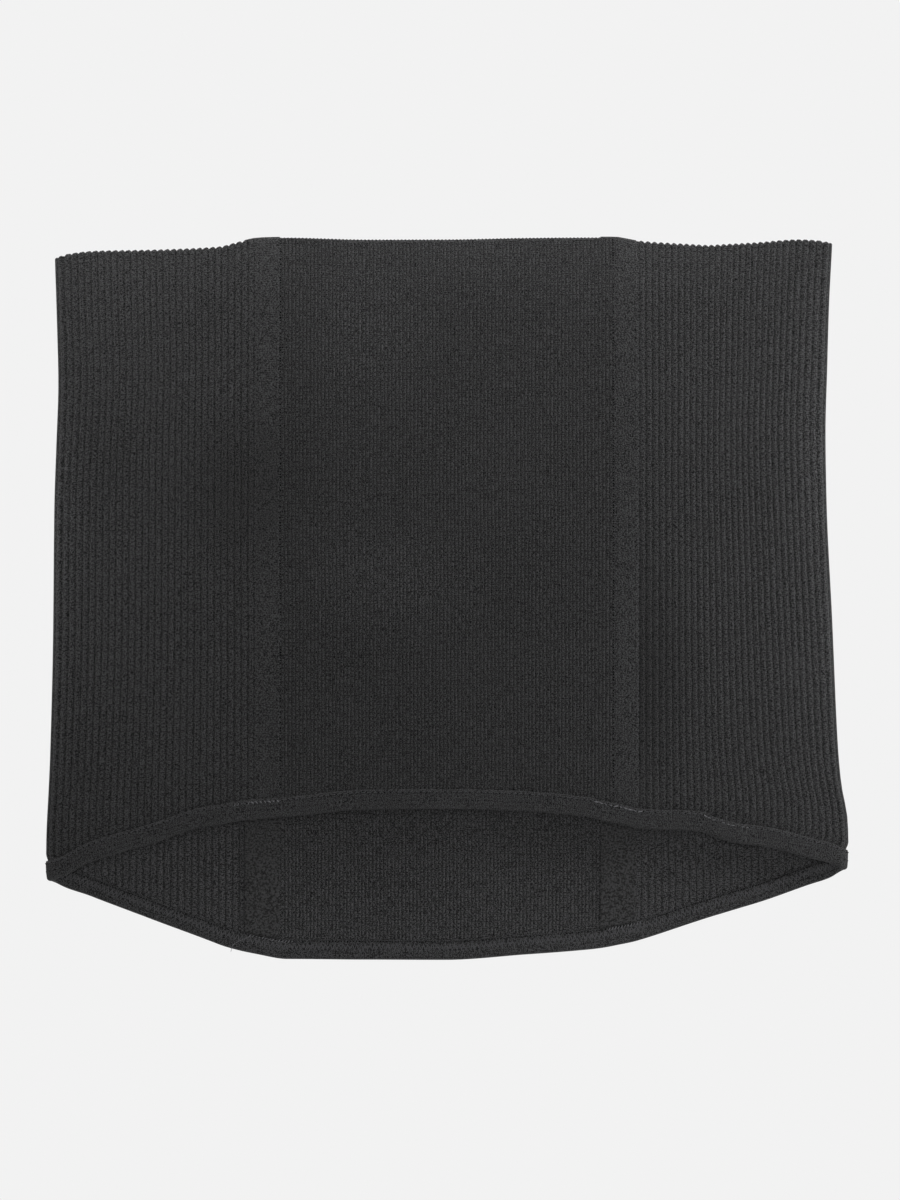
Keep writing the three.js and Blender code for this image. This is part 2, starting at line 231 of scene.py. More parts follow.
@dataclass(frozen=True)
class Belt:
    """The belt's driving sizes and the one mapping that every piece is laid on.

    The top edge slants by top_slant and sags by top_droop over droop_reach. The front's middle
    stands front_crown over its sides, which rise by side_rise within side_reach of the folds. The
    hem starts to lift at the share lift_starts down. Wander is how far the knit strays aside, over
    about wander_reach.
    """

    width: float = 360
    front_length: float = 254
    back_length: float = 324
    side_length: float = 280
    top_slant: float = 10
    front_crown: float = 2.5
    top_droop: float = 4.0
    droop_reach: float = 30
    side_rise: float = 1.8
    side_reach: float = 26
    hem_ease: float = 3
    knit: float = 1.8
    pressed: float = 1
    fine_width: float = 148.4
    back_shift: float = 3
    channel: float = 11
    tape_thickness: float = 1.8
    tape_gap: float = 3
    binding_height: float = 9
    binding_thickness: float = 0.8
    cloth_stops: float = 1.1
    clearance: float = 0.3
    lift_starts: float = 0.82
    wander: float = 0.4
    wander_reach: float = 90
    y_shift: float = 0.0

    @property
    def fold_radius(self) -> float:
        """Radius of the middle of the knit at the side folds."""
        return (self.tape_gap + 2 * (self.tape_thickness + self.clearance) + self.knit) / 2

    @property
    def fold_arc(self) -> float:
        """Length of the knit round a side fold."""
        return math.pi * self.fold_radius

    @property
    def slot_half(self) -> float:
        """Half the slot inside the binding."""
        return self.pressed / 2 + self.clearance

    @property
    def binding_half(self) -> float:
        """Distance from the middle of the knit to the binding's outer face."""
        return self.slot_half + self.binding_thickness

    @property
    def flat_half(self) -> float:
        """Distance from the middle of the belt to where a side fold starts."""
        return self.width / 2 - self.binding_half - self.fold_radius

    @property
    def hem_zone(self) -> float:
        """Height over the hem in which the knit thins down and is pressed."""
        return self.binding_height + self.clearance + self.hem_ease

    @property
    def channel_middle(self) -> float:
        """Distance of a channel's middle from the middle of its fine panel."""
        return self.fine_width / 2 + self.clearance + self.channel / 2

    @property
    def side_start(self) -> float:
        """Distance of a side panel's seam from the middle of the fine panel."""
        return self.channel_middle + self.channel / 2 + self.clearance

    @property
    def loop_half(self) -> float:
        """Half the length of the loop, from the middle of the front to that of the back."""
        return 2 * self.flat_half + self.fold_arc

    def loop_at(self, face: Face, x: float, hand: Hand = Hand.RIGHT) -> float:
        """Finds a place round the loop.

        Args:
            face: the front or the back.
            x: distance from the middle of that face's fine panel.
            hand: the side fold round which the back is reached.

        Returns:
            The loop place, + to the right of the front's middle and - to the left.
        """
        if face is Face.FRONT:
            return x
        side = hand.value
        return side * (self.loop_half - side * (x - self.back_shift))

    def crown(self, across: np.ndarray, down: np.ndarray) -> np.ndarray:
        """Returns the height of the front over its sides, given shares across and down."""
        swells = np.zeros(np.broadcast(across, down).shape)
        for middle, deep, rise, reach_across, reach_down in SWELLS:
            away = np.hypot((across - middle) / reach_across, (down - deep) / reach_down)
            swells += rise * np.cos(np.clip(away, 0, 1) * math.pi / 2) ** 2
        return self.front_crown * (1 - across**2) ** 2 * (1 + swells)

    def place(
        self, loop: np.ndarray, share: np.ndarray, past: np.ndarray, out: np.ndarray
    ) -> tuple[np.ndarray, np.ndarray, np.ndarray]:
        """Lays points on the belt.

        Args:
            loop: place round the loop, measured at the hem.
            share: share of the way down from the top edge to the hem zone.
            past: distance further down than that.
            out: distance outwards from the middle of the knit.

        Returns:
            The points in metres, the outward direction at each, and the distance down.
        """
        loop, share, past, out = np.broadcast_arrays(loop, share, past, out)
        side = np.where(loop < 0, -1.0, 1.0)
        gone = np.abs(loop)
        turn = np.clip((gone - self.flat_half) / self.fold_radius, 0, math.pi)
        beyond = np.maximum(gone - self.flat_half - self.fold_arc, 0)
        x = side * (np.minimum(gone, self.flat_half) + self.fold_radius * np.sin(turn) - beyond)
        across = x / (self.flat_half + self.fold_radius)
        front = turn <= math.pi / 2
        drop = np.where(front, Curve(EDGES, 1)(across), Curve(EDGES, 2)(across))
        middle = np.where(front, self.front_length, self.back_length)
        arch = np.where(front, Curve(EDGES, 3)(across), Curve(EDGES, 4)(across))
        length = self.side_length + (middle - self.side_length) * arch
        fallen = share * (length - self.hem_zone) + past
        down = fallen / length
        widths = np.where(x < 0, Curve(SIDES, 1)(down), Curve(SIDES, 2)(down))
        spread = smoothstep(np.abs(x), self.side_start, self.flat_half)
        draw = spread * (widths - 1) * self.width / 2 * np.sign(x)
        slack = np.sin(math.pi * np.clip(share, 0, 1)) * np.cos(turn) ** 2
        wander = self.wander * Wobble(SEED, self.wander_reach)(x, fallen) * slack
        held = smoothstep(share, self.lift_starts, 1)
        lift = self.knit / 2 + self.fold_radius + held * (self.binding_half - self.knit / 2)
        from_fold = np.clip((self.flat_half - np.abs(x)) / self.side_reach, 0, 1)
        swollen = self.side_rise * (1 - (1 - from_fold) ** 2)
        drooped = (1 - np.clip(fallen / self.droop_reach, 0, 1)) ** 2 * (1 - across**8)
        rise = self.crown(across, down) + swollen - self.top_droop * drooped
        rise = np.where(turn < math.pi / 2, rise, 0)
        points = np.stack(
            [
                x + draw + wander + side * out * np.sin(turn),
                self.y_shift - drop * self.top_slant - fallen,
                lift + (self.fold_radius + out) * np.cos(turn) + rise,
            ],
            axis=-1,
        )
        away = np.stack([side * np.sin(turn), np.zeros(turn.shape), np.cos(turn)], axis=-1)
        return points * MM, away, fallen

    def on_hem(self, loop: np.ndarray, over: np.ndarray, out: np.ndarray) -> tuple:
        """Lays points that far over the hem's fold; returns them and their outward directions."""
        points, away, _ = self.place(loop, 1.0, self.hem_zone - over, out)
        return points, away

    @staticmethod
    def packed() -> "Belt":
        """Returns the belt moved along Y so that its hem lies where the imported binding's does."""
        plain = Belt()
        loops = np.linspace(-plain.loop_half, plain.loop_half, 1441)
        points, _ = plain.on_hem(loops, 0.0, plain.binding_half)
        return Belt(y_shift=(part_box("hem_binding")[0].y - points[:, 1].min()) / MM)


def new_mesh(
    name: str,
    points: np.ndarray,
    faces: list[tuple[int, ...]],
    cloth: np.ndarray | None = None,
    marks: dict[str, np.ndarray] | None = None,
    edges: list[tuple[int, int]] | None = None,
) -> bpy.types.Object:
    """Makes a mesh object with smooth faces.

    Args:
        name: the object's name.
        points: its vertices in metres.
        faces: its faces.
        cloth: for each vertex, distance across and down the cloth in millimetres, kept as UV
            in metres.
        marks: vertex attributes by name, one number or one direction each.
        edges: loose edges, for a path.

    Returns:
        The object, at the origin.
    """
    mesh = bpy.data.meshes.new(name)
    mesh.from_pydata(points.reshape(-1, 3).tolist(), edges or [], faces)
    mesh.update()
    if faces:
        mesh.polygons.foreach_set("use_smooth", [True] * len(mesh.polygons))
    if cloth is not None:
        corner = np.zeros(len(mesh.loops), np.int32)
        mesh.loops.foreach_get("vertex_index", corner)
        layer = mesh.uv_layers.new(name="cloth")
        laid = cloth.reshape(-1, 2)[corner] * MM
        layer.data.foreach_set("uv", laid.astype(np.float32).ravel())
    for mark, values in (marks or {}).items():
        wide = values.shape[-1:] == (3,) and values.ndim > 1
        made = mesh.attributes.new(mark, "FLOAT_VECTOR" if wide else "FLOAT", "POINT")
        made.data.foreach_set("vector" if wide else "value", values.astype(np.float32).ravel())
    thing = bpy.data.objects.new(name, mesh)
    bpy.context.collection.objects.link(thing)
    return thing


def grid_faces(across: int, down: int, closed: bool) -> list[tuple[int, ...]]:
    """Lists the faces of a grid of points, columns by rows, whose rows may close round."""
    faces = []
    for i in range(across - 1):
        for j in range(down if closed else down - 1):
            k = (j + 1) % down
            faces.append((i * down + j, i * down + k, (i + 1) * down + k, (i + 1) * down + j))
    return faces


def tube_faces(columns: int, rows: int) -> list[tuple[int, ...]]:
    """Lists the faces of a closed wall: its columns of rows, with a cap at each end."""
    last = (columns - 1) * rows
    start = tuple(range(rows - 1, -1, -1))
    end = tuple(last + j for j in range(rows))
    return [*grid_faces(columns, rows, closed=True), start, end]


class GeometryTree:
    """A Geometry Nodes tree with named inputs, run once on a mesh and baked into it."""

    def __init__(self, name: str, inputs: dict[str, str]) -> None:
        """Makes the tree with its geometry sockets and the named inputs of the given types."""
        self.tree = bpy.data.node_groups.new(name, "GeometryNodeTree")
        self.tree.is_modifier = True
        face = self.tree.interface
        face.new_socket("Geometry", in_out="INPUT", socket_type="NodeSocketGeometry")
        for label, kind in inputs.items():
            face.new_socket(label, in_out="INPUT", socket_type=kind)
        face.new_socket("Geometry", in_out="OUTPUT", socket_type="NodeSocketGeometry")
        self.start = add(self.tree, "NodeGroupInput")
        self.build(self.start.outputs)

    def build(self, given: bpy.types.bpy_prop_collection) -> None:
        """Adds the tree's nodes, from the given inputs to the output."""
        raise NotImplementedError

    def calc(self, operation: str, *parts: object) -> Socket:
        """Returns the result of one sum in the tree."""
        return calc(self.tree, operation, *parts)

    def mix(self, share: Socket, low: object, high: object) -> Socket:
        """Returns low where the share is 0, and high where it is 1."""
        return add(self.tree, "ShaderNodeMix", {0: share, 2: low, 3: high}).outputs[0]

    def mark(self, name: str, kind: str = "FLOAT") -> Socket:
        """Returns a vertex attribute of the mesh."""
        node = add(self.tree, "GeometryNodeInputNamedAttribute", {"Name": name}, data_type=kind)
        return node.outputs["Attribute"]

    def deliver(self, shape: Socket, finish: Socket) -> None:
        """Makes a shape real, gives it its material and lets it out of the tree."""
        real = add(self.tree, "GeometryNodeRealizeInstances", {"Geometry": shape})
        parts = {"Geometry": real.outputs[0], "Material": finish}
        dressed = add(self.tree, "GeometryNodeSetMaterial", parts)
        add(self.tree, "NodeGroupOutput", {"Geometry": dressed.outputs[0]})

    def bake(self, thing: bpy.types.Object, values: dict[str, object]) -> bpy.types.Object:
        """Runs the tree on an object and keeps the result as its plain mesh.

        Args:
            thing: the object.
            values: the named inputs.

        Returns:
            The same object.
        """
        modifier = thing.modifiers.new(self.tree.name, "NODES")
        modifier.node_group = self.tree
        sockets = {
            item.name: item.identifier
            for item in self.tree.interface.items_tree
            if item.in_out == "INPUT"
        }
        for label, value in values.items():
            modifier[sockets[label]] = value
        thing.update_tag()
        graph = bpy.context.evaluated_depsgraph_get()
        graph.update()
        baked = bpy.data.meshes.new_from_object(thing.evaluated_get(graph), depsgraph=graph)
        thing.modifiers.remove(modifier)
        old = thing.data
        thing.data = baked
        bpy.data.meshes.remove(old)
        baked.name = thing.name
        return thing


class RibRelief(GeometryTree):
    """Presses ribs into a wall of knit: a groove outside is a rib inside.

    The parts of a rib that are higher than edge_level stand up at the top edge, and the others
    lie lower.
    """

    edge_level = 0.6
    sizes = ("Pitch", "Depth outside", "Depth inside", "Groove outside", "Groove inside", "Scallop")

    def __init__(self) -> None:
        """Makes the tree with the ribs' pitch, depth and shape as inputs."""
        inputs = dict.fromkeys(self.sizes, "NodeSocketFloat")
        super().__init__("Rib relief", {**inputs, "Finish": "NodeSocketMaterial"})

    def ridge(self, phase: Socket, shape: Socket) -> Socket:
        """Returns 0 in a groove and 1 on a rib; a larger shape makes a narrower groove."""
        wave = self.calc("ABSOLUTE", self.calc("COSINE", self.calc("MULTIPLY", phase, math.pi)))
        return self.calc("SUBTRACT", 1.0, self.calc("POWER", wave, shape))

    def build(self, given: bpy.types.bpy_prop_collection) -> None:
        """Moves each point in by the depth of its groove, and rib ends up at the top edge."""
        tree = self.tree
        phase = self.calc("DIVIDE", self.mark("wale"), given["Pitch"])
        outer = self.ridge(phase, given["Groove outside"])
        inner = self.ridge(self.calc("ADD", phase, 0.5), given["Groove inside"])
        hand = self.mark("hand")
        is_outer = self.calc("GREATER_THAN", hand, 0.0)
        height = self.mix(is_outer, inner, outer)
        depth = self.mix(is_outer, given["Depth inside"], given["Depth outside"])
        sunk = self.calc("MULTIPLY", self.calc("SUBTRACT", height, 1.0), depth)
        sunk = self.calc("MULTIPLY", self.calc("MULTIPLY", sunk, hand), self.mark("free"))
        away = self.mark("away", "FLOAT_VECTOR")
        inwards = scaled(tree, away, self.calc("MULTIPLY", sunk, MM))
        end = self.calc("MULTIPLY", self.calc("SUBTRACT", outer, self.edge_level), given["Scallop"])
        end = self.calc("MULTIPLY", self.calc("MULTIPLY", end, self.mark("edge")), MM)
        upwards = add(tree, "ShaderNodeCombineXYZ", {"Y": end})
        total = add(tree, "ShaderNodeVectorMath", {0: inwards, 1: upwards.outputs[0]})
        parts = {"Geometry": given["Geometry"], "Offset": total.outputs[0]}
        moved = add(tree, "GeometryNodeSetPosition", parts)
        self.deliver(moved.outputs[0], given["Finish"])


class StitchRow(GeometryTree):
    """Sews stitches along a path; one that strays, in radians, grows by grows times as much."""

    grows = 0.8
    sizes = ("Spacing", "Length", "Thickness", "Slant", "Zigzag", "Unevenness")

    def __init__(self) -> None:
        """Makes the tree with the stitches' spacing and shape as inputs."""
        inputs = dict.fromkeys(self.sizes, "NodeSocketFloat")
        inputs |= {"Seed": "NodeSocketInt", "Finish": "NodeSocketMaterial"}
        super().__init__("Stitch row", inputs)

    def build(self, given: bpy.types.bpy_prop_collection) -> None:
        """Puts one rounded stitch at each step along the path, turned to lie on the cloth."""
        tree = self.tree
        line = add(tree, "GeometryNodeMeshToCurve", {"Mesh": given["Geometry"]})
        parts = {"Curve": line.outputs[0], "Length": given["Spacing"]}
        even = add(tree, "GeometryNodeResampleCurve", parts, mode="LENGTH")
        thread = add(tree, "GeometryNodeMeshUVSphere", {"Segments": 8, "Rings": 6, "Radius": 0.5})
        round_thread = add(tree, "GeometryNodeSetShadeSmooth", {"Geometry": thread.outputs[0]})
        parts = {"X": given["Length"], "Y": given["Thickness"], "Z": given["Thickness"]}
        size = add(tree, "ShaderNodeCombineXYZ", parts)
        parts = {"Vector": add(tree, "GeometryNodeInputTangent").outputs[0]}
        along = add(tree, "FunctionNodeAlignRotationToVector", parts, axis="X")
        parts = {"Rotation": along.outputs[0], "Vector": self.mark("away", "FLOAT_VECTOR")}
        flat = add(tree, "FunctionNodeAlignRotationToVector", parts, axis="Z", pivot_axis="X")
        turn = self.calc("MODULO", add(tree, "GeometryNodeInputIndex").outputs[0], 2.0)
        turn = self.calc("MULTIPLY_ADD", turn, 2.0, -1.0)
        swing = self.mix(given["Zigzag"], 1.0, turn)
        parts = {2: -1.0, 3: 1.0, "Seed": given["Seed"]}
        chance = add(tree, "FunctionNodeRandomValue", parts, data_type="FLOAT")
        stray = self.calc("MULTIPLY", chance.outputs[1], given["Unevenness"])
        angle = self.calc("ADD", self.calc("MULTIPLY", given["Slant"], swing), stray)
        parts = {"Axis": (0.0, 0.0, 1.0), "Angle": angle}
        twist = add(tree, "FunctionNodeAxisAngleToRotation", parts)
        parts = {"Rotation": flat.outputs[0], "Rotate By": twist.outputs[0]}
        turned = add(tree, "FunctionNodeRotateRotation", parts, rotation_space="LOCAL")
        grown = self.calc("MULTIPLY_ADD", stray, self.grows, 1.0)
        sewn = add(
            tree,
            "GeometryNodeInstanceOnPoints",
            {
                "Points": even.outputs[0],
                "Instance": round_thread.outputs[0],
                "Rotation": turned.outputs[0],
                "Scale": scaled(tree, size.outputs[0], grown),
            },
        )
        self.deliver(sewn.outputs[0], given["Finish"])


@dataclass(frozen=True)
class Finish:
    """A matt black cloth finish, with the soft rim of light that loose fibres give.

    Relief is in millimetres, and mottle is how far the colour goes darker and lighter with the
    relief
    and the clouds: partly the yarn's own uneven tone, and partly painted shade in the relief's
    hollows and painted highlight on its tops. Flecks are fleck across, and the broad random clouds
    of darker and lighter colour are cloud across.
    """

    name: str
    colour: str
    roughness: float = 0.85
    specular: float = 0.08
    sheen: float = 0.12
    sheen_roughness: float = 0.5
    relief: float = 0.25
    mottle: float = 0.7
    fleck: float = 0.8
    cloud: float = 60
    clouded: float = 0.3

    def grain(self, tree: Tree, size: float, detail: float) -> Socket:
        """Returns a noise whose blobs are that many millimetres across."""
        where = add(tree, "ShaderNodeTexCoord")
        noise = add(
            tree,
            "ShaderNodeTexNoise",
            {"Vector": where.outputs["Object"], "Scale": 1 / (size * MM), "Detail": detail},
        )
        return noise.outputs[0]

    def height(self, tree: Tree) -> Socket:
        """Returns the surface's own relief, from about 0 to 1."""
        return self.grain(tree, self.fleck, 3.0)

    def strength(self, tree: Tree) -> Socket | float:
        """Returns the painted light and shade on the cloth, as a share of its colour; here none."""
        return 1.0

    def build(self) -> bpy.types.Material:
        """Returns the finish as a material."""
        material = bpy.data.materials.new(self.name)
        material.use_nodes = True
        tree = material.node_tree
        shader = tree.nodes["Principled BSDF"]
        shader.inputs["Roughness"].default_value = self.roughness
        shader.inputs["Specular IOR Level"].default_value = self.specular
        shader.inputs["Sheen Weight"].default_value = self.sheen
        shader.inputs["Sheen Roughness"].default_value = self.sheen_roughness
        height = self.height(tree)
        # The colour follows the relief and the clouds: painted shade in the relief's hollows and
        # painted highlight on its tops, with the yarn's own uneven tone
        level = calc(tree, "SUBTRACT", height, self.clouded / 2)
        cloud = self.grain(tree, self.cloud, 2.0)
        tone = calc(tree, "MULTIPLY_ADD", cloud, self.clouded, level)
        dark, light = (linear(self.colour, 1 + by) for by in (-self.mottle, self.mottle))
        toned_and_shaded = add(tree, "ShaderNodeMix", {0: tone, 6: dark, 7: light}, data_type="RGBA")
        parts = {"Height": height, "Strength": 1.0, "Distance": self.relief * MM}
        bump = add(tree, "ShaderNodeBump", parts)
        # Painted light and shade scale the colour here: each broad patch of the knit, and its
        # lighter inner face
        worn = scaled(tree, toned_and_shaded.outputs[2], self.strength(tree))
        tree.links.new(worn, shader.inputs["Base Color"])
        tree.links.new(bump.outputs[0], shader.inputs["Normal"])
        return material


@dataclass(frozen=True)
class PaintedLightAndShade:
    """A broad soft patch of painted light on the upper layer where its shade is above 0, and of
    painted shade where it is below.

    It is an ellipsoid of space, in millimetres, flat enough not to reach the lower layer.
    """

    middle: tuple[float, float, float]
    size: tuple[float, float, float]
    shade: float

    def reach(self, tree: Tree) -> Socket:
        """Returns 1 in the patch's middle, fading to 0 at its edge."""
        place = add(tree, "ShaderNodeTexCoord").outputs["Object"]
        middle = tuple(value * MM for value in self.middle)
        size = tuple(value * MM for value in self.size)
        aside = add(tree, "ShaderNodeVectorMath", {0: place, 1: middle}, operation="SUBTRACT")
        parts = {0: aside.outputs[0], 1: size}
        share = add(tree, "ShaderNodeVectorMath", parts, operation="DIVIDE")
        far = add(tree, "ShaderNodeVectorMath", {0: share.outputs[0]}, operation="LENGTH")
        parts = {"Value": far.outputs["Value"], "To Min": 1.0, "To Max": 0.0}
        return add(tree, "ShaderNodeMapRange", parts, interpolation_type="SMOOTHSTEP").outputs[0]


# Painted light high on the front and in its middle, painted shade beside the left channel, and a
# little painted highlight at the side folds: broad light and shade that the lamps and the shape
# don't give
PAINTED_LIGHT_AND_SHADE = (
    PaintedLightAndShade((-34.0, 120.0, 14.0), (42.0, 44.0, 8.0), 0.36),
    PaintedLightAndShade((-24.0, 6.0, 14.0), (54.0, 36.0, 8.0), 0.42),
    PaintedLightAndShade((-91.0, 48.0, 14.0), (44.0, 54.0, 8.0), -0.42),
    PaintedLightAndShade((165.0, 84.0, 12.0), (18.0, 90.0, 12.0), 0.28),
    PaintedLightAndShade((-174.0, 45.0, 12.0), (20.0, 60.0, 12.0), 0.3),
)
# Painted shade beside the right channel, on the side panel only
PAINTED_SHADE_BY_RIGHT_CHANNEL = PaintedLightAndShade((83.0, -30.0, 14.0), (38.0, 94.0, 8.0), -0.52)


@dataclass(frozen=True)
class KnitFinish(Finish):
    """Knitted yarn: columns of V-shaped loops down the cloth.

    Rib and course are the real knit's pitches. The yarn's flecks, fibre, and its lines, line, are
    coarser than real ones, which are too fine to show. Loops, groove, speckle, streaks and bars
    are the strengths of the loops, of the painted shade in the grooves, of the flecks, of the lines
    down the ribs and of the bars across them. Inside is how much lighter the inner face is painted,
    as painted light that lifts its shade in the hollow between the layers, and inside_groove how
    much deeper the painted shade in its grooves is.
    """

    rib: float = 3.06
    wales: int = 2
    course: float = 0.94
    drift: float = 3.0
    drift_reach: float = 9
    loops: float = 0.5
    loop_slope: float = -0.6
    loop_mean: float = 0.37
    groove: float = 0.35
    groove_shape: float = 5.0
    fibre: float = 0.5
    speckle: float = 4.6
    line: float = 0.7
    line_squeeze: float = 0.18
    streaks: float = 1.3
    bars: float = 0.3
    # Painted light on the inner face, which lifts the shade in the hollow between the layers
    inside: float = 0.75
    inside_groove: float = 0.1
    patches: tuple[PaintedLightAndShade, ...] = PAINTED_LIGHT_AND_SHADE

    def height(self, tree: Tree) -> Socket:
        """Returns the loops' relief, with the unevenness of real yarn and shade in the grooves."""
        laid = add(tree, "ShaderNodeUVMap", uv_map="cloth").outputs[0]
        cloth = add(tree, "ShaderNodeSeparateXYZ", {0: laid})
        rib = calc(tree, "DIVIDE", cloth.outputs[0], self.rib * MM)
        course = calc(tree, "DIVIDE", cloth.outputs[1], self.course * MM)
        stray = self.grain(tree, self.drift_reach, 1.0)
        course = calc(tree, "MULTIPLY_ADD", stray, self.drift, course)
        flecks = calc(tree, "SUBTRACT", self.grain(tree, self.fibre, 1.0), 0.5)
        shade = calc(tree, "MULTIPLY_ADD", self.turned_in(tree), -self.inside_groove, -self.groove)
        total = calc(tree, "MULTIPLY_ADD", self.looped(tree, rib, course), self.loops, 0.5)
        total = calc(tree, "MULTIPLY_ADD", flecks, self.speckle, total)
        total = calc(tree, "MULTIPLY_ADD", self.grooved(tree, rib), shade, total)
        total = calc(tree, "MULTIPLY_ADD", self.barred(tree, rib, course), self.bars, total)
        return calc(tree, "MULTIPLY_ADD", self.lined(tree, laid), self.streaks, total)

    def wave(self, tree: Tree, along: Socket, turn: float) -> Socket:
        """Returns a cosine wave that turns that far with each step along."""
        return calc(tree, "COSINE", calc(tree, "MULTIPLY", along, turn))

    def looped(self, tree: Tree, rib: Socket, course: Socket) -> Socket:
        """Returns the V-shaped loops, wales of them across a rib, one down each course."""
        wale = calc(tree, "MULTIPLY", rib, float(self.wales))
        phase = calc(tree, "SUBTRACT", calc(tree, "FRACT", wale), 0.5)
        aside = calc(tree, "MULTIPLY", calc(tree, "ABSOLUTE", phase), 2.0)
        leg = calc(tree, "SINE", calc(tree, "MULTIPLY", aside, math.pi))
        leg = calc(tree, "MULTIPLY_ADD", leg, 0.5, 0.5)
        along = calc(tree, "MULTIPLY_ADD", aside, self.loop_slope, course)
        wave = calc(tree, "MULTIPLY_ADD", self.wave(tree, along, 2 * math.pi), 0.5, 0.5)
        return calc(tree, "SUBTRACT", calc(tree, "MULTIPLY", leg, wave), self.loop_mean)

    def grooved(self, tree: Tree, rib: Socket) -> Socket:
        """Returns 1 in the groove beside each rib, falling to 0 on the rib."""
        dark = calc(tree, "ABSOLUTE", self.wave(tree, rib, math.pi))
        return calc(tree, "POWER", dark, self.groove_shape)

    def barred(self, tree: Tree, rib: Socket, course: Socket) -> Socket:
        """Returns bars across the ribs, two courses apart, that swap over from rib to groove."""
        bars = self.wave(tree, course, math.pi)
        return calc(tree, "MULTIPLY", bars, self.wave(tree, rib, 2 * math.pi))

    def lined(self, tree: Tree, laid: Socket) -> Socket:
        """Returns uneven lines that run down the cloth."""
        parts = {"Vector": laid, "Scale": (1.0, self.line_squeeze, 1.0)}
        drawn = add(tree, "ShaderNodeMapping", parts)
        parts = {"Vector": drawn.outputs[0], "Scale": 1 / (self.line * MM), "Detail": 1.0}
        lines = add(tree, "ShaderNodeTexNoise", parts)
        return calc(tree, "SUBTRACT", lines.outputs[0], 0.5)

    def turned_in(self, tree: Tree) -> Socket:
        """Returns 1 on the knit's inner face and 0 on its outer face."""
        hand = add(tree, "ShaderNodeAttribute", attribute_name="hand").outputs["Fac"]
        return calc(tree, "MAXIMUM", calc(tree, "MULTIPLY", hand, -1.0), 0.0)

    def strength(self, tree: Tree) -> Socket:
        """Returns the painted light and shade of each broad patch, and the inner face's painted
        light.
        """
        total = calc(tree, "MULTIPLY_ADD", self.turned_in(tree), self.inside, 1.0)
        for patch in self.patches:
            total = calc(tree, "MULTIPLY_ADD", patch.reach(tree), patch.shade, total)
        return total


@dataclass(frozen=True)
class PlushFinish(Finish):
    """Brushed pile: short tufts with shade between them, drawn coarser than real ones."""

    tuft: float = 0.82
    contrast: float = 6.5

    def height(self, tree: Tree) -> Socket:
        """Returns the tufts' relief."""
        tufts = calc(tree, "SUBTRACT", self.grain(tree, self.tuft, 2.0), 0.5)
        return calc(tree, "MULTIPLY_ADD", tufts, self.contrast, 0.5)


class Black(Enum):
    """The belt's finishes; each name is the record's material slot."""

    # Thick rib knit of the side panels: matt, with loops that catch a little light; painted light
    # lifts its inner face, and broad painted light and shade lie on it, darkest beside the right
    # channel
    rib_knit = KnitFinish(
        "Nylon and elastane rib knit",
        "#343435",
        relief=0.42,
        mottle=0.9,
        groove=0.5,
        speckle=4.2,
        inside=0.68,
        inside_groove=-0.06,
        patches=(*PAINTED_LIGHT_AND_SHADE, PAINTED_SHADE_BY_RIGHT_CHANNEL),
    )
    # Finer knit of the front and the back: the same yarn in ribs half as wide, so flatter; painted
    # light lifts its inner face, and broad painted light and shade lie on the front
    fine_knit = KnitFinish(
        "Nylon and elastane fine knit",
        "#333334",
        relief=0.45,
        mottle=0.97,
        rib=1.64,
        groove_shape=2.5,
    )
    # The stitched strips over the boning: the same yarn, pressed flat; painted light lifts its
    # inner face
    channel_knit = KnitFinish(
        "Pressed knit of the boning channels",
        "#333334",
        relief=0.45,
        mottle=0.97,
        rib=1.57,
        groove=0.15,
    )
    # Brushed tape: the yarn's ends stand up and make it look rough and dull
    boning_tape = PlushFinish("Brushed plush tape", "#353536", relief=1.0, mottle=0.97)
    # Folded elastic over the hem: tight, even and a little smoother; painted light lifts its inner
    # face
    binding_elastic = KnitFinish(
        "Woven elastic binding",
        "#353536",
        relief=0.35,
        mottle=0.97,
        fibre=0.42,
        rib=1.8,
        groove=0.1,
        streaks=0.4,
        bars=0.1,
        inside=0.3,
    )
    # Polyester thread of the long seams: hardly lighter than the cloth that it lies on
    thread = Finish("Black polyester thread", "#4c4c4e", roughness=0.6, relief=0.05, mottle=0.3)
    # The looser thread of the zigzag over the hem's inside, which stands up and shows paler
    hem_thread = Finish(
        "Polyester thread of the hem", "#545456", roughness=0.6, relief=0.05, mottle=0.3
    )
    # The same black thread where a bar tack packs it close; its paler colour is a painted highlight
    # of the light that it catches
    tack_thread = Finish(
        "Packed polyester thread", "#727275", roughness=0.5, relief=0.05, mottle=0.3
    )
    # Painted shade: dark stitches where a needle leaves small holes, which have no light in them
    needle_hole_painted_shade = Finish("Needle hole, painted shade", "#101010", roughness=1.0, sheen=0.0, mottle=0.2)

    @property
    def in_record(self) -> bool:
        """Whether the record has a slot for it."""
        return self not in (Black.thread, Black.hem_thread, Black.tack_thread, Black.needle_hole_painted_shade)


class Dresser:
    """Keeps one material for each finish."""

    def __init__(self) -> None:
        """Builds every finish once."""
        self.made = {black: black.value.build() for black in Black}

    def __getitem__(self, black: Black) -> bpy.types.Material:
        """Returns the material of a finish."""
        return self.made[black]


def adopt(thing: bpy.types.Object, node: str | None, black: Black) -> bpy.types.Object:
    """Hides the CAD node that a piece stands for, ties the piece to the belt's one body and logs
    it.
    """
    if node is not None:
        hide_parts(node)
    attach(thing, "root")
    triangles = sum(len(face.vertices) - 2 for face in thing.data.polygons)
    LOG.info("%s: %d triangles, %s", thing.name, triangles, black.value.name)
    return thing


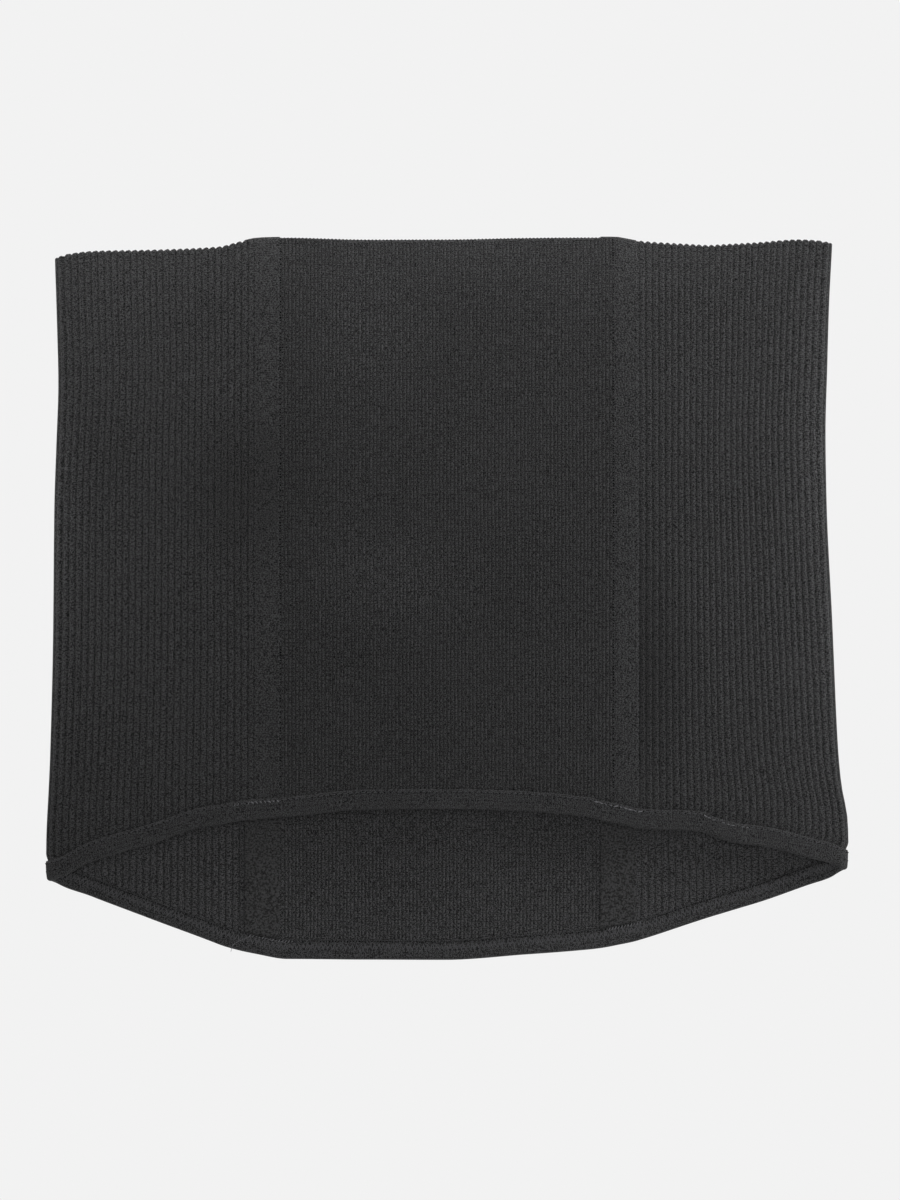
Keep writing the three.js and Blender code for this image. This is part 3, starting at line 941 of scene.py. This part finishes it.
@dataclass(frozen=True)
class Knit:
    """One panel or strip of knit, from one loop place to another.

    Its ribs are depth deep outside, and inside_depth times that inside. The piece stands out by
    raised, and its rib ends stand up at the top edge by scallop. Each seam pinches the wall by the
    share seam_dip, over about seam_reach, and the ribs rise from ribs_start to ribs_full beside
    it, or, inside, that far past the tape's edge, tape_reach from the seam. The inner face is lip
    thicker at the binding and thins within lip_ends. The top edge is rounded from rim_start down,
    by rim_height, and its scallop is half gone scallop_fades down.
    """

    node: str
    start: float
    end: float
    ribs: int
    depth: float
    black: Black
    groove_outside: float = 3.0
    groove_inside: float = 10.0
    inside_depth: float = 1.35
    scallop: float = 0.9
    raised: float = 0.0
    seam_dip: float = 0.25
    seam_reach: float = 0.75
    ribs_start: float = -0.5
    ribs_full: float = 1.5
    tape_reach: float = 2.5
    lip: float = 0.3
    lip_ends: float = 0.6
    rim_start: float = 0.5
    rim_height: float = 0.9
    rim_ribs: float = 0.2
    scallop_fades: float = 2.0
    steps_a_rib: int = 6
    rows: int = 46
    thinning_rows: int = 3
    rim_steps: int = 6

    def profile(self, belt: Belt) -> list[tuple[float, ...]]:
        """Lists the wall's section, down the outside, up the inside and over the top edge.

        Returns:
            For each row: share down, distance past that, distance out, which face it is on,
            how freely the ribs stand there, and how much of the top edge's scallop it has.
        """
        half = belt.knit / 2
        thin = belt.pressed / 2
        stop = belt.hem_zone - belt.binding_thickness - belt.cloth_stops
        rows = []
        for hand, raised, lip in ((1.0, self.raised, 0.0), (-1.0, 0.0, self.lip)):
            scallop = ((self.rim_start, 1.0), (self.scallop_fades, 0.5))
            down = [(0.0, past, half, 1.0, edge) for past, edge in scallop]
            down += [(j / self.rows, 0.0, half, 1.0, 0.0) for j in range(1, self.rows + 1)]
            for j in range(1, self.thinning_rows + 1):
                at = j / self.thinning_rows
                squeezed = half - (half - thin - lip) * at * at
                down.append((1.0, belt.hem_ease * at, squeezed, 1 - at * at, 0.0))
            down += [(1.0, past, thin, 0.0, 0.0) for past in (belt.hem_ease + self.lip_ends, stop)]
            rows += [
                (share, past, hand * (out + raised * free), hand, free, edge)
                for share, past, out, free, edge in down[:: int(hand)]
            ]
        for j in range(1, self.rim_steps):
            turn = math.pi * j / self.rim_steps
            over = self.rim_start - self.rim_height * math.sin(turn)
            rows.append((0.0, over, -half * math.cos(turn), -math.cos(turn), self.rim_ribs, 1.0))
        return rows

    def build(self, belt: Belt, relief: RibRelief, finish: bpy.types.Material) -> bpy.types.Object:
        """Builds the piece as a closed wall with its ribs.

        Args:
            belt: the shape that it is laid on.
            relief: the tree that presses the ribs.
            finish: its material.

        Returns:
            The piece.
        """
        rows = np.array(self.profile(belt))
        share, past, out, hand, free, edge = (rows[None, :, k] for k in range(6))
        loops = np.linspace(self.start, self.end, self.ribs * self.steps_a_rib + 1)
        loops[0] -= belt.clearance / 2
        loops[-1] += belt.clearance / 2
        at = loops[:, None]
        from_seam = np.minimum(at - self.start, self.end - at)
        pinch = 1 - self.seam_dip * np.exp(-((from_seam / self.seam_reach) ** 2))
        past_tape = from_seam - self.tape_reach * (hand < 0)
        points, away, fallen = belt.place(at, share, past, out * pinch)
        shape = points.shape[:2]
        wale = np.broadcast_to(at - self.start, shape)
        pitch = (self.end - self.start) / self.ribs
        nominal = self.black.value.rib
        across = wale / pitch * nominal + np.where(hand < 0, nominal / 2, 0)
        marks = {
            "wale": wale,
            "away": away,
            "hand": np.broadcast_to(hand, shape),
            "free": free * smoothstep(past_tape, self.ribs_start, self.ribs_full),
            "edge": np.broadcast_to(edge, shape),
        }
        cloth = np.stack([across, fallen], axis=-1)
        piece = new_mesh(f"{self.node}_cloth", points, tube_faces(*shape), cloth, marks)
        return relief.bake(
            piece,
            {
                "Pitch": pitch,
                "Depth outside": self.depth,
                "Depth inside": self.depth * self.inside_depth,
                "Groove outside": self.groove_outside,
                "Groove inside": self.groove_inside,
                "Scallop": self.scallop,
                "Finish": finish,
            },
        )


@dataclass(frozen=True)
class Panels:
    """The knit pieces: two fine panels, two ribbed side panels and four channels."""

    belt: Belt
    rib_pitch: float = 3.06
    rib_depth: float = 0.5
    fine_pitch: float = 1.64
    fine_depth: float = 0.6
    channel_ribs: int = 7
    channel_depth: float = 0.1
    channel_raise: float = 0.15

    def pieces(self) -> list[Knit]:
        """Lists the pieces with their places round the loop."""
        belt = self.belt
        found = []
        for face in Face:
            half = belt.fine_width / 2
            ends = sorted(belt.loop_at(face, x) for x in (-half, half))
            found.append(
                Knit(
                    f"{face.value}_panel",
                    *ends,
                    ribs=round(belt.fine_width / self.fine_pitch),
                    depth=self.fine_depth,
                    black=Black.fine_knit,
                    scallop=0.3,
                    groove_outside=2.0,
                    groove_inside=3.0,
                    inside_depth=0.9,
                )
            )
            for hand in Hand:
                middle = belt.loop_at(face, hand.value * belt.channel_middle, hand)
                found.append(
                    Knit(
                        f"channel_{face.value}_{hand.name.lower()}",
                        middle - belt.channel / 2,
                        middle + belt.channel / 2,
                        ribs=self.channel_ribs,
                        depth=self.channel_depth,
                        black=Black.channel_knit,
                        scallop=0.0,
                        raised=self.channel_raise if face is Face.FRONT else 0.0,
                    )
                )
        for hand in Hand:
            side = hand.value
            ends = sorted(belt.loop_at(face, side * belt.side_start, hand) for face in Face)
            found.append(
                Knit(
                    f"side_panel_{hand.name.lower()}",
                    *ends,
                    ribs=round((ends[1] - ends[0]) / self.rib_pitch),
                    depth=self.rib_depth,
                    black=Black.rib_knit,
                    steps_a_rib=8,
                )
            )
        return found

    def build(self, dresser: Dresser) -> list[bpy.types.Object]:
        """Builds, dresses and attaches every knit piece."""
        relief = RibRelief()
        made = []
        for knit in self.pieces():
            piece = adopt(knit.build(self.belt, relief, dresser[knit.black]), knit.node, knit.black)
            made.append(piece)
        return made


@dataclass(frozen=True)
class Tapes:
    """The four plush tapes that hold the boning, under the channels.

    Each stands that far over the top edge and stops that far short of the binding. It loses the
    share flattened of its thickness on its way down, from flat_start to flat_end, and the share
    squeezed of the rest as it goes into the hem.
    """

    belt: Belt
    width: float = 16
    stands: float = 0.6
    stops: float = 0.12
    flattened: float = 0.4
    flat_start: float = 0.5
    flat_end: float = 0.85
    squeezed: float = 0.5
    squeezed_rows: tuple[float, ...] = (0, 0.3, 0.6, 0.85, 1)
    corners: int = 40
    square_across: float = 0.4
    square_deep: float = 0.6
    rows: int = 60

    def section(self) -> np.ndarray:
        """Lists a tape's rounded section: across, from -1 to 1, and deep, from 0 to 1."""
        turns = np.arange(self.corners) / self.corners * 2 * math.pi
        across, up = np.cos(turns), np.sin(turns)
        across = np.sign(across) * np.abs(across) ** self.square_across
        deep = 0.5 - 0.5 * np.sign(up) * np.abs(up) ** self.square_deep
        return np.stack([across, deep], axis=-1)

    def levels(self) -> np.ndarray:
        """Lists the rows down a tape.

        Returns:
            For each row: share down, distance past that, how full the tape is there, and how
            deep it thins to, from 0, its outer face, to 1.
        """
        # The rounded end at the top edge, which thins to its middle
        rounded = ((-self.stands, 0.55), (-self.stands + 0.25, 0.85), (0.4, 1.0))
        top = [(0.0, past, full, 0.5) for past, full in rounded]
        shares = np.arange(1, self.rows) / self.rows
        worn = 1 - self.flattened * smoothstep(shares, self.flat_start, self.flat_end)
        down = [(share, 0.0, full, 0.0) for share, full in zip(shares, worn)]
        reach = self.belt.hem_ease + self.belt.clearance - self.stops
        left = 1 - self.flattened
        end = [
            (1.0, reach * at, left * (1 - self.squeezed * at * at), 0.0)
            for at in self.squeezed_rows
        ]
        return np.array([*top, *down, *end])

    def tape(self, face: Face, hand: Hand, finish: bpy.types.Material) -> bpy.types.Object:
        """Builds one tape."""
        belt = self.belt
        middle = belt.loop_at(face, hand.value * belt.channel_middle, hand)
        section, levels = self.section(), self.levels()
        across = section[None, :, 0] * self.width / 2
        share, past, full, held = (levels[:, None, k] for k in range(4))
        top = -(belt.knit / 2 + belt.clearance)
        out = top - belt.tape_thickness * (held * (1 - full) + section[None, :, 1] * full)
        points, _, fallen = belt.place(middle + across, share, past, out)
        shape = points.shape[:2]
        cloth = np.stack([np.broadcast_to(across, shape), fallen], axis=-1)
        name = f"tape_{face.value}_{hand.name.lower()}_cloth"
        piece = new_mesh(name, points, tube_faces(*shape), cloth)
        piece.data.materials.append(finish)
        return piece

    def build(self, dresser: Dresser) -> list[bpy.types.Object]:
        made = []
        for face in Face:
            for hand in Hand:
                piece = self.tape(face, hand, dresser[Black.boning_tape])
                adopt(piece, piece.name.removesuffix("_cloth"), Black.boning_tape)
                made.append(piece)
        return made


@dataclass(frozen=True)
class Binding:
    """The elastic binding folded over the hem, and its lap joint.

    Its free edge is a lip round the slot, given by distances out from the slot and below the top,
    and a taper, given by distances in from the face and below the top. The lap stands lap_raise
    over the face, and its hidden rim goes lap_sinks into it.
    """

    belt: Belt
    stations: int = 900
    lip: tuple[tuple[float, float], ...] = ((0.0, 0.1), (0.2, 0.0))
    taper: tuple[tuple[float, float], ...] = ((0.35, 0.1), (0.12, 0.6), (0.0, 1.8))
    face_rows: tuple[float, ...] = (0.6, 0.4)
    fold_height: float = 1.4
    fold_steps: int = 5
    lap_from: float = 115.4
    lap_to: float = 134.3
    lap_raise: float = 0.45
    lap_sinks: float = 0.15
    lap_starts_in: float = 2.5
    lap_ends_in: float = 0.6
    lap_rim: float = 0.5
    lap_below: float = 0.1
    lap_grid: tuple[int, int] = (40, 14)

    def section(self) -> np.ndarray:
        """Lists the folded section: distance out and distance over the fold."""
        belt = self.belt
        top, half, slot = belt.binding_height, belt.binding_half, belt.slot_half
        outside = [(slot + out, top - below) for out, below in self.lip]
        outside += [(half - inwards, top - below) for inwards, below in self.taper]
        outside += [(half, top * share) for share in self.face_rows]
        for k in range(self.fold_steps):
            turn = math.pi / 2 * k / self.fold_steps
            over = self.fold_height - self.fold_height * math.sin(turn)
            outside.append((half * math.cos(turn), over))
        inside = [(-out, over) for out, over in reversed(outside)]
        slot_rows = [(-slot, belt.binding_thickness), (slot, belt.binding_thickness)]
        return np.array([*outside, (0.0, 0.0), *inside, *slot_rows])

    def build(self, dresser: Dresser) -> list[bpy.types.Object]:
        """Builds the ring of binding and its lap joint."""
        belt = self.belt
        section = self.section()
        loops = np.linspace(-belt.loop_half, belt.loop_half, self.stations + 1)[:-1]
        points, _ = belt.on_hem(loops[:, None], section[None, :, 1], section[None, :, 0])
        shape = points.shape[:2]
        total = shape[0] * shape[1]
        faces = [
            tuple(corner % total for corner in face)
            for face in grid_faces(shape[0] + 1, shape[1], closed=True)
        ]
        run = np.concatenate([[0], np.cumsum(np.hypot(*np.diff(section, axis=0).T))])
        cloth = [np.broadcast_to(run[None, :], shape), np.broadcast_to(loops[:, None], shape)]
        marks = {"hand": np.broadcast_to(np.sign(section[None, :, 0]), shape)}
        ring = new_mesh("hem_binding_cloth", points, faces, np.stack(cloth, axis=-1), marks)
        ring.data.materials.append(dresser[Black.binding_elastic])
        adopt(ring, "hem_binding", Black.binding_elastic)
        lap = self.lap(dresser)
        return [ring, lap]

    def lap(self, dresser: Dresser) -> bpy.types.Object:
        """Builds the end of the binding where it laps over its own start."""
        belt = self.belt
        along, across = self.lap_grid
        loops = np.linspace(self.lap_from, self.lap_to, along)[:, None]
        ends = smoothstep(loops, self.lap_from, self.lap_from + self.lap_starts_in)
        ends = ends * (1 - smoothstep(loops, self.lap_to - self.lap_ends_in, self.lap_to))
        low, high = self.lap_rim, belt.binding_height - self.lap_below
        overs = np.linspace(low, high, across)[None, :]
        rim = np.clip(np.minimum(overs - low, high - overs) / self.lap_rim, 0, 1)
        rise = (self.lap_raise + self.lap_sinks) * ends * np.sqrt(rim)
        out = belt.binding_half - self.lap_sinks + rise
        points, _ = belt.on_hem(loops, overs, out)
        shape = points.shape[:2]
        cloth = [np.broadcast_to(overs, shape), np.broadcast_to(loops + 0.4, shape)]
        faces = [tuple(reversed(face)) for face in grid_faces(*shape, closed=False)]
        lap = new_mesh("binding_lap", points, faces, np.stack(cloth, axis=-1))
        lap.data.materials.append(dresser[Black.binding_elastic])
        return adopt(lap, None, Black.binding_elastic)


@dataclass(frozen=True)
class Stitch:
    """One kind of stitch in a row, or of needle hole; angles are in radians."""

    spacing: float
    length: float
    thickness: float
    slant: float = 0.0
    zigzag: float = 0.0
    uneven: float = 0.1
    black: Black = Black.thread
    sunk: float = 0.0


class Sewing(Enum):
    """The kinds of stitch on the belt: spacing, length and thickness come first."""

    TOP = Stitch(2.7, 1.7, 0.4)
    # HOLES, FAR_HOLES and SEAM_HOLES are dark stitches of painted shade in the needle holes
    HOLES = Stitch(1.35, 0.62, 0.5, uneven=0.3, black=Black.needle_hole_painted_shade, sunk=0.1)
    FAR_HOLES = Stitch(2.7, 0.6, 0.45, uneven=0.3, black=Black.needle_hole_painted_shade, sunk=0.12)
    LADDER = Stitch(1.0, 3.4, 0.36, slant=1.2, zigzag=1.0, black=Black.hem_thread)
    SEAM = Stitch(2.4, 1.2, 0.34)
    SEAM_HOLES = Stitch(1.2, 0.75, 0.6, uneven=0.4, black=Black.needle_hole_painted_shade, sunk=0.1)
    TACK = Stitch(1.66, 1.5, 0.5, slant=-0.75, uneven=0.2, black=Black.tack_thread)
    LONG_TACK = Stitch(2.1, 1.9, 0.42, slant=-0.06, uneven=0.4, black=Black.tack_thread)
    FAN = Stitch(1.4, 1.6, 0.3, slant=0.8, uneven=0.3, black=Black.tack_thread)
    LOOSE = Stitch(0.9, 1.3, 0.24, uneven=0.02, black=Black.tack_thread)


@dataclass(frozen=True)
class Row:
    """One row of stitches along the hem: the loop place and height over the fold of each end."""

    start: float
    end: float
    over: float
    inside: bool = False
    raised: float = 0.0


@dataclass(frozen=True)
class Stitches:
    """Every row of stitches on the belt.

    Those of the hem stand raise_over over the binding, and their ends are ends_apart from the
    middle of the back. Those of the seams lie seam_sunk in the knit and start that share down.
    """

    belt: Belt
    raise_over: float = 0.12
    ends_apart: float = 0.01
    seam_sunk: float = 0.15
    seam_starts: float = 0.004
    tail_hangs: tuple[float, float, float] = (-0.6, -2.4, -0.9)

    def hem_rows(self) -> dict[str, tuple[Sewing, list[Row]]]:
        """Lists the rows along the binding, by the piece that they make."""
        belt = self.belt
        top = belt.binding_height
        ends = (-belt.loop_half + self.ends_apart, belt.loop_half - self.ends_apart)
        back = [belt.loop_at(Face.BACK, x, Hand.LEFT) for x in (-85.4, -66.5)]
        back_right = [belt.loop_at(Face.BACK, x, Hand.RIGHT) for x in (76.0, 90.0)]
        return {
            "stitches_hem_outside": (Sewing.TOP, [Row(*ends, top - 1.2)]),
            "holes_hem": (Sewing.HOLES, [Row(*ends, top - 1.3), Row(*ends, top - 0.8, True)]),
            "holes_hem_far": (Sewing.FAR_HOLES, [Row(*ends, top - 4.9)]),
            "stitches_hem_inside": (Sewing.LADDER, [Row(*ends, top - 3.2, True)]),
            "bar_tack_dim": (Sewing.FAN, [Row(-94.7, -86.8, top - 1.4, raised=0.05)]),
            "bar_tack_left": (Sewing.TACK, [Row(-86.8, -75.4, top - 1.4, raised=0.15)]),
            "bar_tacks_right": (
                Sewing.LONG_TACK,
                [
                    Row(66.8, 86.2, top - 1.3, raised=0.15),
                    Row(115.4, 134.3, top - 1.3, raised=0.15),
                ],
            ),
            "bar_tacks_inside": (
                Sewing.FAN,
                [Row(*back, top - 1, True), Row(*back_right, top - 1, True)],
            ),
        }

    def tail(self) -> tuple[np.ndarray, np.ndarray]:
        """Lays the thread's end, from the tack inside the back out past the hem."""
        belt = self.belt
        corners = []
        for x, over in ((-88.4, belt.binding_height - 1.4), (-95.0, 3.2), (-96.4, 1.6)):
            loop = belt.loop_at(Face.BACK, x + belt.back_shift, Hand.LEFT)
            point, _ = belt.on_hem(np.array([loop]), over, -belt.binding_half - self.raise_over)
            corners.append(point[0])
        corners.append(corners[-1] + np.array(self.tail_hangs) * MM)
        points = np.array(corners)
        return points, np.tile([0.0, 0.0, 1.0], (len(points), 1))

    def path(self, row: Row, sunk: float, steps: int = 900) -> tuple[np.ndarray, np.ndarray]:
        """Lays a row along the binding; returns its points and the way out of the cloth at each."""
        belt = self.belt
        loops = np.linspace(row.start, row.end, steps)
        out = belt.binding_half + self.raise_over + row.raised - sunk
        points, away = belt.on_hem(loops, row.over, -out if row.inside else out)
        return points, -away if row.inside else away

    def seams(self, sunk: float, both: bool, steps: int = 80) -> list[tuple]:
        """Lays rows down the channels, from the top to the binding.

        Args:
            sunk: how far in from its stitches' usual place a row lies.
            both: whether each channel has a row at both edges, or only at its inner one.
            steps: the points of a row.

        Returns:
            For each row, its points and the way out of the cloth at each.
        """
        belt = self.belt
        paths = []
        for face in Face:
            for hand in Hand:
                middle = belt.loop_at(face, hand.value * belt.channel_middle, hand)
                inner = -hand.value if face is Face.FRONT else hand.value
                for edge in (-inner, inner) if both else (inner,):
                    loop = middle + edge * (belt.channel / 2 + belt.clearance / 2)
                    share = np.linspace(self.seam_starts, 1.0, steps)
                    out = belt.knit / 2 - self.seam_sunk - sunk
                    points, away, _ = belt.place(np.full(steps, loop), share, 0.0, out)
                    paths.append((points, away))
        return paths

    def sew(
        self, name: str, paths: list[tuple], stitch: Stitch, tree: StitchRow, dresser: Dresser
    ) -> bpy.types.Object:
        """Sews one kind of stitch along several paths, as one piece.

        Args:
            name: the piece's name.
            paths: for each path, its points and the way out of the cloth at each.
            stitch: the kind of stitch.
            tree: the tree that sews.
            dresser: the materials.

        Returns:
            The piece.
        """
        edges = []
        first = 0
        for points, _ in paths:
            edges += [(first + i, first + i + 1) for i in range(len(points) - 1)]
            first += len(points)
        points = np.concatenate([path[0] for path in paths])
        away = np.concatenate([path[1] for path in paths])
        thing = new_mesh(name, points, [], marks={"away": away}, edges=edges)
        sewn = tree.bake(
            thing,
            {
                "Spacing": stitch.spacing * MM,
                "Length": stitch.length * MM,
                "Thickness": stitch.thickness * MM,
                "Slant": stitch.slant,
                "Zigzag": stitch.zigzag,
                "Unevenness": stitch.uneven,
                "Seed": SEED,
                "Finish": dresser[stitch.black],
            },
        )
        return adopt(sewn, None, stitch.black)

    def build(self, dresser: Dresser) -> list[bpy.types.Object]:
        """Sews every row."""
        tree = StitchRow()
        made = []
        for name, (kind, rows) in self.hem_rows().items():
            paths = [self.path(row, kind.value.sunk) for row in rows]
            made.append(self.sew(name, paths, kind.value, tree, dresser))
        made.append(self.sew("thread_tail", [self.tail()], Sewing.LOOSE.value, tree, dresser))
        for name, kind, both in (
            ("stitches_channels", Sewing.SEAM, True),
            ("holes_channels", Sewing.SEAM_HOLES, False),
        ):
            paths = self.seams(kind.value.sunk, both)
            made.append(self.sew(name, paths, kind.value, tree, dresser))
        return made


# The lamps: name, power in watts, width in metres and place in metres
LAMPS = [
    ("overhead", 20.9, 1.2, (0.0, 0.0, 2.2)),
    ("top", 0.17, 0.25, (0.05, 0.36, 0.17)),
    ("top_near", 0.2, 0.15, (0.02, 0.27, 0.10)),
    ("top_left", 0.2, 0.15, (-0.2, 0.23, 0.09)),
    ("top_right", 0.1, 0.15, (0.2, 0.23, 0.09)),
    ("right", 0.55, 0.2, (0.42, 0.08, 0.16)),
    ("right_near", 0.17, 0.12, (0.3, 0.01, 0.09)),
    ("left_near", 0.08, 0.1, (-0.27, 0.0, 0.05)),
    ("bottom", 0.55, 0.3, (0.08, -0.45, 0.2)),
]


@dataclass(frozen=True)
class Studio:
    """The photo's camera, its white ground and its soft light."""

    height: float = 1.8
    middle: tuple[float, float] = (0.0014, -0.0011)
    level: float = 0.0054
    frame_height: float = 0.5385
    sensor: float = 36
    ground: str = "#f2f2f2"
    ground_reach: float = 9
    sky: float = 0.02

    def build(self) -> None:
        """Builds the stage."""
        scene = bpy.context.scene
        scene.view_settings.view_transform = "Standard"
        lens = bpy.data.cameras.new("camera")
        lens.sensor_width = self.sensor
        lens.lens = self.sensor * self.height / self.frame_height
        camera = bpy.data.objects.new("camera", lens)
        camera.location = (*self.middle, self.level + self.height)
        bpy.context.collection.objects.link(camera)
        scene.camera = camera
        corners = np.array([(-1, -1, 0), (1, -1, 0), (1, 1, 0), (-1, 1, 0)], float)
        floor = new_mesh("floor", corners * self.ground_reach, [(0, 1, 2, 3)])
        paper = bpy.data.materials.new("Lit white paper")
        paper.use_nodes = True
        tree = paper.node_tree
        tree.nodes.remove(tree.nodes["Principled BSDF"])
        glow = add(tree, "ShaderNodeEmission", {"Color": linear(self.ground), "Strength": 1.0})
        tree.links.new(glow.outputs[0], tree.nodes["Material Output"].inputs["Surface"])
        floor.data.materials.append(paper)
        world = bpy.data.worlds.new("Soft room")
        scene.world = world
        world.use_nodes = True
        sky = world.node_tree.nodes["Background"]
        sky.inputs["Color"].default_value = (1, 1, 1, 1)
        sky.inputs["Strength"].default_value = self.sky
        for lamp in LAMPS:
            self.lamp(*lamp)

    def lamp(self, name: str, power: float, size: float, at: tuple[float, float, float]) -> None:
        """Hangs a round soft light that faces the belt."""
        light = bpy.data.lights.new(name, "AREA")
        light.shape = "DISK"
        light.size = size
        light.energy = power
        lamp = bpy.data.objects.new(name, light)
        lamp.location = at
        lamp.rotation_euler = (-Vector(at)).to_track_quat("-Z", "Y").to_euler()
        bpy.context.collection.objects.link(lamp)


def main() -> None:
    """Builds the belt piece by piece, then its stage."""
    logging.basicConfig(level=logging.INFO, format="%(name)s: %(message)s")
    belt = Belt.packed()
    LOG.info("belt moved %.2f mm along Y", belt.y_shift)
    dresser = Dresser()
    pieces = []
    for part in (Panels(belt), Tapes(belt), Binding(belt), Stitches(belt)):
        pieces += part.build(dresser)
    LOG.info("%d pieces", len(pieces))
    Studio().build()


if __name__ == "__main__":
    main()
